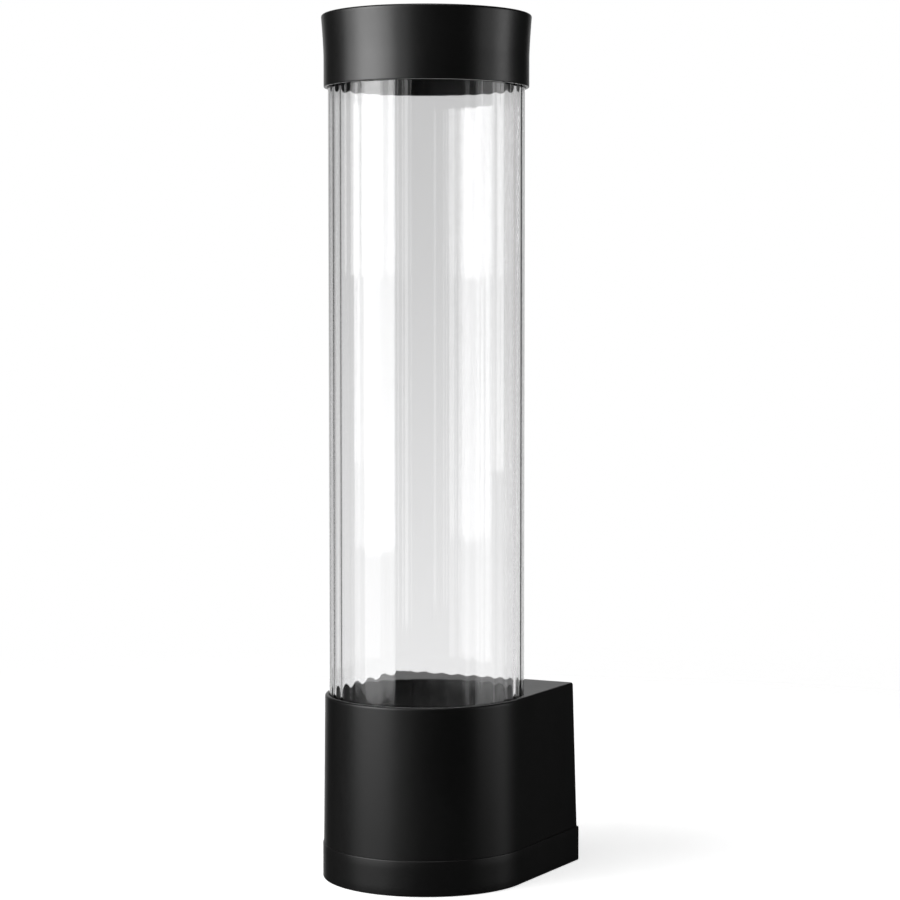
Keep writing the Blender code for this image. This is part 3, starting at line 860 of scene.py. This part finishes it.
springSizes = {
    "wire": 0.0005,
    "wireSides": 12,
    "coil": 0.0016,
    "turns": 4,
    "turnSteps": 28,
    "pitch": 0.00098,
    "leg": 0.0044,
    "pawlLeg": 0.0029,
    "legSteps": 7,
    "legShare": 0.92,  # the share of a leg that is straight before it runs into the coil
}
pawlSizes = {
    "degrees": {"front": -90, "right": 0, "back": 90, "left": 180},
    "pivotRadius": 0.0427,
    "pivotHeight": 0.0110,
    "bendOutside": 0.0003,  # the spring bends between these two distances from the pivot
    "bendInside": 0.0016,
}


def springShape():
    # The wire's path is a straight leg, (coil * cos, pitch * turn, coil * sin) over the turns, and
    # a second leg. A circle of the wire's radius is carried along it, square to the path.
    s = springSizes
    half, sides = s["turns"] * s["pitch"] / 2, s["wireSides"]
    t = np.linspace(0, s["turns"], s["turns"] * s["turnSteps"] + 1)
    angle = -math.pi / 2 + math.tau * t
    coil = np.column_stack([
        s["coil"] * np.cos(angle), -half + s["pitch"] * t, s["coil"] * np.sin(angle),
    ])
    legShare = np.linspace(0, s["legShare"], s["legSteps"])[:, None]
    first = np.array([-s["leg"], -half, -s["coil"]])
    last = np.array([s["pawlLeg"], half, -s["coil"]])
    firstLeg = first + legShare * (coil[0] - first)
    lastLeg = last + legShare[::-1] * (coil[-1] - last)
    path = np.concatenate([firstLeg, coil, lastLeg])
    along = np.gradient(path, axis=0)
    along /= np.linalg.norm(along, axis=1, keepdims=True)
    side = np.cross(along, np.array([0.0, 1.0, 0.0]))
    side /= np.linalg.norm(side, axis=1, keepdims=True)
    up = np.cross(side, along)
    a = np.arange(sides) * math.tau / sides
    circle = np.cos(a)[None, :, None] * side[:, None] + np.sin(a)[None, :, None] * up[:, None]
    wire = path[:, None] + s["wire"] / 2 * circle
    ends = np.repeat(path[[0, -1], None], sides, axis=1)
    points = np.concatenate([ends[:1], wire, ends[1:]])
    return points.reshape(-1, 3), gridFaces(len(points), sides)


def makePawls():
    s = pawlSizes
    points, faces = springShape()
    for where, degrees in s["degrees"].items():
        body, node, pin = f"{where}_pawl", f"pawl_{where}", f"pawl_pin_{where}"
        outward = np.array([*onCircle(1, degrees), 0.0])
        pivot = s["pivotRadius"] * outward + np.array([0, 0, s["pivotHeight"]])
        turned = turnedAbout(points, math.radians(degrees)) + pivot
        mesh = meshFrom(f"spring_{where}", turned, faces, "wavy")
        nodes = [f"pawl_spring_{where}"]
        spring = addPiece(f"spring_{where}", mesh, springSteel, None, nodes)
        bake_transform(spring)
        softenedCopy(f"finger_{where}", node, edgeWidths["pawl"], innerBlack, body)
        softenedCopy(f"hingePin_{where}", pin, edgeWidths["pin"], screwSteel, "base")


makeGuide()
for ring in ("carrier", "retainer"):
    name, node = f"{ring}Ring", f"pawl_{ring}"
    softenedCopy(name, node, edgeWidths[ring], innerBlack, "base")
makePawls()
print("funnel and pawls made")


# seat is the height where the head stops, and up is 1 where the shank points up and -1 where down
screwSizes = {
    "cover": {
        "shank": 0.0014, "head": 0.0028, "headHeight": 0.0018, "length": 0.0230, "pitch": 0.0011,
        "seat": 0.0018, "up": 1,
    },
    "carrier": {
        "shank": 0.0009, "head": 0.0017, "headHeight": 0.0011, "length": 0.0080, "pitch": 0.0007,
        "seat": 0.0011, "up": 1,
    },
    "retainer": {
        "shank": 0.0009, "head": 0.0017, "headHeight": 0.0011, "length": 0.0060, "pitch": 0.0007,
        "seat": 0.0150, "up": -1,
    },
}
# shares of the head's radius or height and of the shank's radius, how finely a screw is divided,
# and how the screws are turned
screwShares = {
    "face": 0.86,
    "dome": 0.1,
    "rimLow": 0.72,
    "rimHigh": 0.1,
    "seatRadius": 0.95,
    "arm": 0.13,
    "armBlend": 0.35,
    "reach": 0.58,
    "reachBlend": 0.3,
    "recess": 0.55,
    "thread": 0.12,
    "columns": 48,
    "faceRings": 14,
    "pitchRows": 8,
    "firstTurn": 0.4,
    "turnStep": 1.7,
}


def screwShape(s):
    # A turned profile. On the head's face the height is lifted by recess * cross, where cross is 1
    # in two crossed bars and 0 beside them. On the shank the radius is lowered by the share
    # thread * (1 + cos(angle + 2 pi * height / pitch)) / 2.
    k = screwShares
    columns, rings = k["columns"], k["faceRings"]
    head, deep = s["head"], s["headHeight"]
    angle = np.arange(columns) * math.tau / columns
    faceRadius = np.linspace(0, head * k["face"], rings)
    dome = -deep + k["dome"] * deep * (faceRadius / head) ** 2
    rim = np.array([
        [head, -deep * k["rimLow"]],
        [head, -deep * k["rimHigh"]],
        [head * k["seatRadius"], 0],
    ])
    shankRows = int(s["length"] / s["pitch"] * k["pitchRows"])
    up = np.linspace(0, s["length"] - s["shank"], shankRows)
    radius = np.concatenate([faceRadius, rim[:, 0], np.full(shankRows, s["shank"]), [0.0]])
    height = np.concatenate([dome, rim[:, 1], up, [s["length"]]])
    x, y = radius[:, None] * np.cos(angle), radius[:, None] * np.sin(angle)
    arm, reach = k["arm"] * head, k["reach"] * head
    nearer, farther = np.minimum(np.abs(x), np.abs(y)), np.maximum(np.abs(x), np.abs(y))
    cross = np.clip((arm - nearer) / (k["armBlend"] * arm) + 0.5, 0, 1)
    cross = cross * np.clip((reach - farther) / (k["reachBlend"] * reach) + 0.5, 0, 1)
    cross[rings:] = 0
    z = height[:, None] + k["recess"] * deep * cross
    wound = angle[None, :] + math.tau * height[:, None] / s["pitch"]
    thread = 1 - k["thread"] * (1 + np.cos(wound)) / 2
    thread[: rings + len(rim)] = 1
    points = np.stack([x * thread, y * thread, z], axis=-1)
    return points.reshape(-1, 3), gridFaces(len(radius), columns)


def makeScrews():
    k = screwShares
    rows = [(kind, number) for kind, places in screwPlaces.items() for number in range(len(places))]
    for count, (kind, number) in enumerate(rows):
        s = screwSizes[kind]
        points, faces = screwShape(s)
        points = turnedAbout(points, k["firstTurn"] + k["turnStep"] * count)
        points = points * np.array([1, s["up"], s["up"]]) + (*screwPlaces[kind][number], s["seat"])
        node = f"{kind}_screw_{number + 1}"
        mesh = meshFrom("turned_" + node, points, faces, "screw")
        addPiece("turned_" + node, mesh, screwSteel, "base", [node])


makeScrews()
print("screws made")

softenedCopy(
    "hangingPlate", "wall_plate", edgeWidths["plate"], plateBlack, "mounting"
)
for side in ("left", "right"):
    name, node = f"foamPad_{side}", f"adhesive_pad_{side}"
    softenedCopy(name, node, edgeWidths["pad"], padFoam, "mounting")
print("wall plate made")


cameraSizes = {
    "place": (0.55243, -1.12739, 0.20890),
    "turn": (86.92, 0.0, 26.911),
    "lens": 103.2,
    "sensor": 36,
}
# turns are in degrees from straight behind the object, and a pair is a smooth step's start and end
studio = {
    "floorHeight": -0.0552,
    "floorRings": (0.0, 0.2, 0.4, 0.6, 0.85),
    "floorColumns": 64,
    "floorTone": 0.8,
    "floorDarker": 0.985,
    "floorGrain": (60.0, 3.0),
    "floorRough": 0.9,
    "floorGloss": 0.1,
    "floorGlow": 0.7,
    "floorFade": (0.25, 0.8),
    "ambient": 0.02,
    "backdropTurn": 29.4,
    "backdropEdge": (0.86, 0.975),
    "backdropFall": 0.33,
    "backdropHeights": (-0.20, 0.10),
    "backdropTilt": 0.06,
    "clearTurn": 13.4,
    "clearEdge": (0.2, 0.95),
    "lampDistance": 1.45,
}
# Azimuth 0 is in front of the object and 90 on its right, and heights are above the bottom rim. A
# lamp stands at lampDistance from the tube's axis, or at its own distance. It faces the axis at its
# own height, or at the height of its aim, and glow is its brightness.
lamps = {
    "leftOuter": {"azimuth": -62.6, "height": 0.85, "size": (0.41, 1.1), "glow": 2.6},
    "leftCore": {"azimuth": -38.6, "height": 0.85, "size": (0.78, 1.1), "glow": 7.2},
    "leftInner": {"azimuth": -16.4, "height": 0.85, "size": (0.361, 1.1), "glow": 4.5},
    "leftGap": {"azimuth": -3.35, "height": 0.85, "size": (0.302, 1.1), "glow": 0.6},
    "leftStrip": {"azimuth": 4.4, "height": 0.675, "size": (0.091, 1.45), "glow": 2.5},
    "leftMiddle": {"azimuth": -34, "height": 0.16, "size": (1.29, 0.28), "glow": 4.0},
    "leftLow": {"azimuth": -34, "height": -0.055, "size": (1.29, 0.15), "glow": 1.9},
    "leftFoot": {"azimuth": -34, "height": -0.27, "size": (1.29, 0.28), "glow": 0.4},
    "rightHigh": {
        "azimuth": 119.9, "height": 0.375, "size": (0.475, 0.55), "glow": 2.4, "distance": 1.5,
    },
    "rightLow": {
        "azimuth": 119.9, "height": -0.1, "size": (0.475, 0.4), "glow": 0.7, "distance": 1.5,
    },
    "sidePanel": {
        "azimuth": 99.4, "height": 0.25, "size": (0.75, 0.8), "glow": 0.9, "distance": 1.5,
    },
    "topBox": {
        "azimuth": 21.4, "height": 1.75, "size": (0.9, 0.9), "glow": 2.4, "distance": 0.35,
        "aim": 0.2,
    },
}


def makeCamera():
    data = bpy.data.cameras.new("camera")
    data.lens, data.sensor_width = cameraSizes["lens"], cameraSizes["sensor"]
    camera = bpy.data.objects.new("camera", data)
    scene.collection.objects.link(camera)
    camera.location = cameraSizes["place"]
    camera.rotation_euler = [math.radians(turn) for turn in cameraSizes["turn"]]
    scene.camera = camera


def floorFinish():
    # A matt pale floor that glows for the camera and through the tube, and fades out to clear away
    # from the middle, where the white world shows
    rough, gloss = studio["floorRough"], studio["floorGloss"]
    finish = Finish("paleFloor", Roughness=rough, Specular_IOR_Level=gloss)
    where = finish.add("ShaderNodeTexCoord", output="Object")
    far = finish.add("ShaderNodeVectorMath", {"operation": "LENGTH"}, {0: where}, "Value")
    grain = finish.noise(where, *studio["floorGrain"])
    tone = studio["floorTone"]
    dark = tone * studio["floorDarker"]
    finish.surface(Base_Color=finish.mix(grain, (dark,) * 3, (tone,) * 3))
    ray = finish.rays()
    seen = ray["Is Camera Ray"].atLeast(ray["Is Transmission Ray"])
    plain = Value(finish, finish.shader.outputs[0])
    sockets = {"Color": (1, 1, 1), "Strength": studio["floorGlow"]}
    glow = finish.add("ShaderNodeEmission", {}, sockets)
    bright = finish.add("ShaderNodeAddShader", {}, {0: plain, 1: glow})
    clear = finish.add("ShaderNodeBsdfTransparent")
    shown = finish.add("ShaderNodeMixShader", {}, {0: seen, 1: plain, 2: bright})
    away = far.step(*studio["floorFade"])
    shown = finish.add("ShaderNodeMixShader", {}, {0: away, 1: shown, 2: clear})
    finish.feed(finish.tree.nodes["Material Output"], "Surface", shown)
    return finish.owner


def makeFloor():
    # a wide flat disc just under the object
    radius = np.array(studio["floorRings"])
    profile = np.column_stack([radius, np.full(len(radius), studio["floorHeight"])])
    points, faces = revolved(profile, studio["floorColumns"], closed=False)
    mesh = meshFrom("floor", points, faces, shift=origin * (1, 1, 0))
    floor = addPiece("floor", mesh, floorFinish(), None)
    floor.visible_glossy = False
    floor.visible_shadow = False


def makeWorld():
    # White for the camera and through the clear tube. Gloss sees that white only behind the object,
    # where the backdrop is, and a dim room elsewhere.
    scene.world = bpy.data.worlds.new("studio")
    finish = Finish("studio", owner=scene.world)
    direction = finish.add("ShaderNodeTexCoord", output="Generated")

    def facing(turn):
        # cosine of the angle between the ray and the way to the backdrop
        a = math.radians(turn)
        behind = (-math.sin(a), math.cos(a), studio["backdropTilt"])
        sockets = {0: direction, 1: behind}
        return finish.add("ShaderNodeVectorMath", {"operation": "DOT_PRODUCT"}, sockets, "Value")

    ray = finish.rays()
    up = finish.add("ShaderNodeSeparateXYZ", {}, {"Vector": direction}, "Z")
    backdrop = 1 - studio["backdropFall"] * up.step(*studio["backdropHeights"])
    mirrored = ray["Glossy Depth"].step(0.0, 1.0)
    scattered = ray["Diffuse Depth"].step(0.0, 1.0)
    passed = ray["Is Transmission Ray"]
    clearSide = facing(studio["clearTurn"]).step(*studio["clearEdge"])
    through = passed * (1 - mirrored) + passed * mirrored * clearSide
    glossy = ray["Is Glossy Ray"] * facing(studio["backdropTurn"]).step(*studio["backdropEdge"])
    seen = through.atLeast(glossy) * (1 - scattered) * backdrop
    seen = seen.atLeast(ray["Is Camera Ray"])
    strength = studio["ambient"] + (1 - studio["ambient"]) * seen
    background = finish.tree.nodes["Background"]
    finish.feed(background, "Color", (1, 1, 1))
    finish.feed(background, "Strength", strength)


def makeLamps():
    for name, s in lamps.items():
        width, height = s["size"]
        data = bpy.data.lights.new(name, "AREA")
        data.shape, data.size, data.size_y = "RECTANGLE", width, height
        data.energy = s["glow"] * math.pi * width * height
        lamp = bpy.data.objects.new(name, data)
        scene.collection.objects.link(lamp)
        a, distance = math.radians(s["azimuth"]), s.get("distance", studio["lampDistance"])
        place = [distance * math.sin(a), -distance * math.cos(a), s["height"]] + origin
        aim = np.array([0, 0, s.get("aim", s["height"])]) + origin - place
        lamp.location = place
        tip = math.acos(-aim[2] / np.linalg.norm(aim))
        lamp.rotation_euler = (tip, 0, math.atan2(-aim[0], aim[1]))
        lamp.visible_camera = False


makeCamera()
makeFloor()
makeWorld()
makeLamps()
scene.view_settings.view_transform = "Standard"
print("studio made")
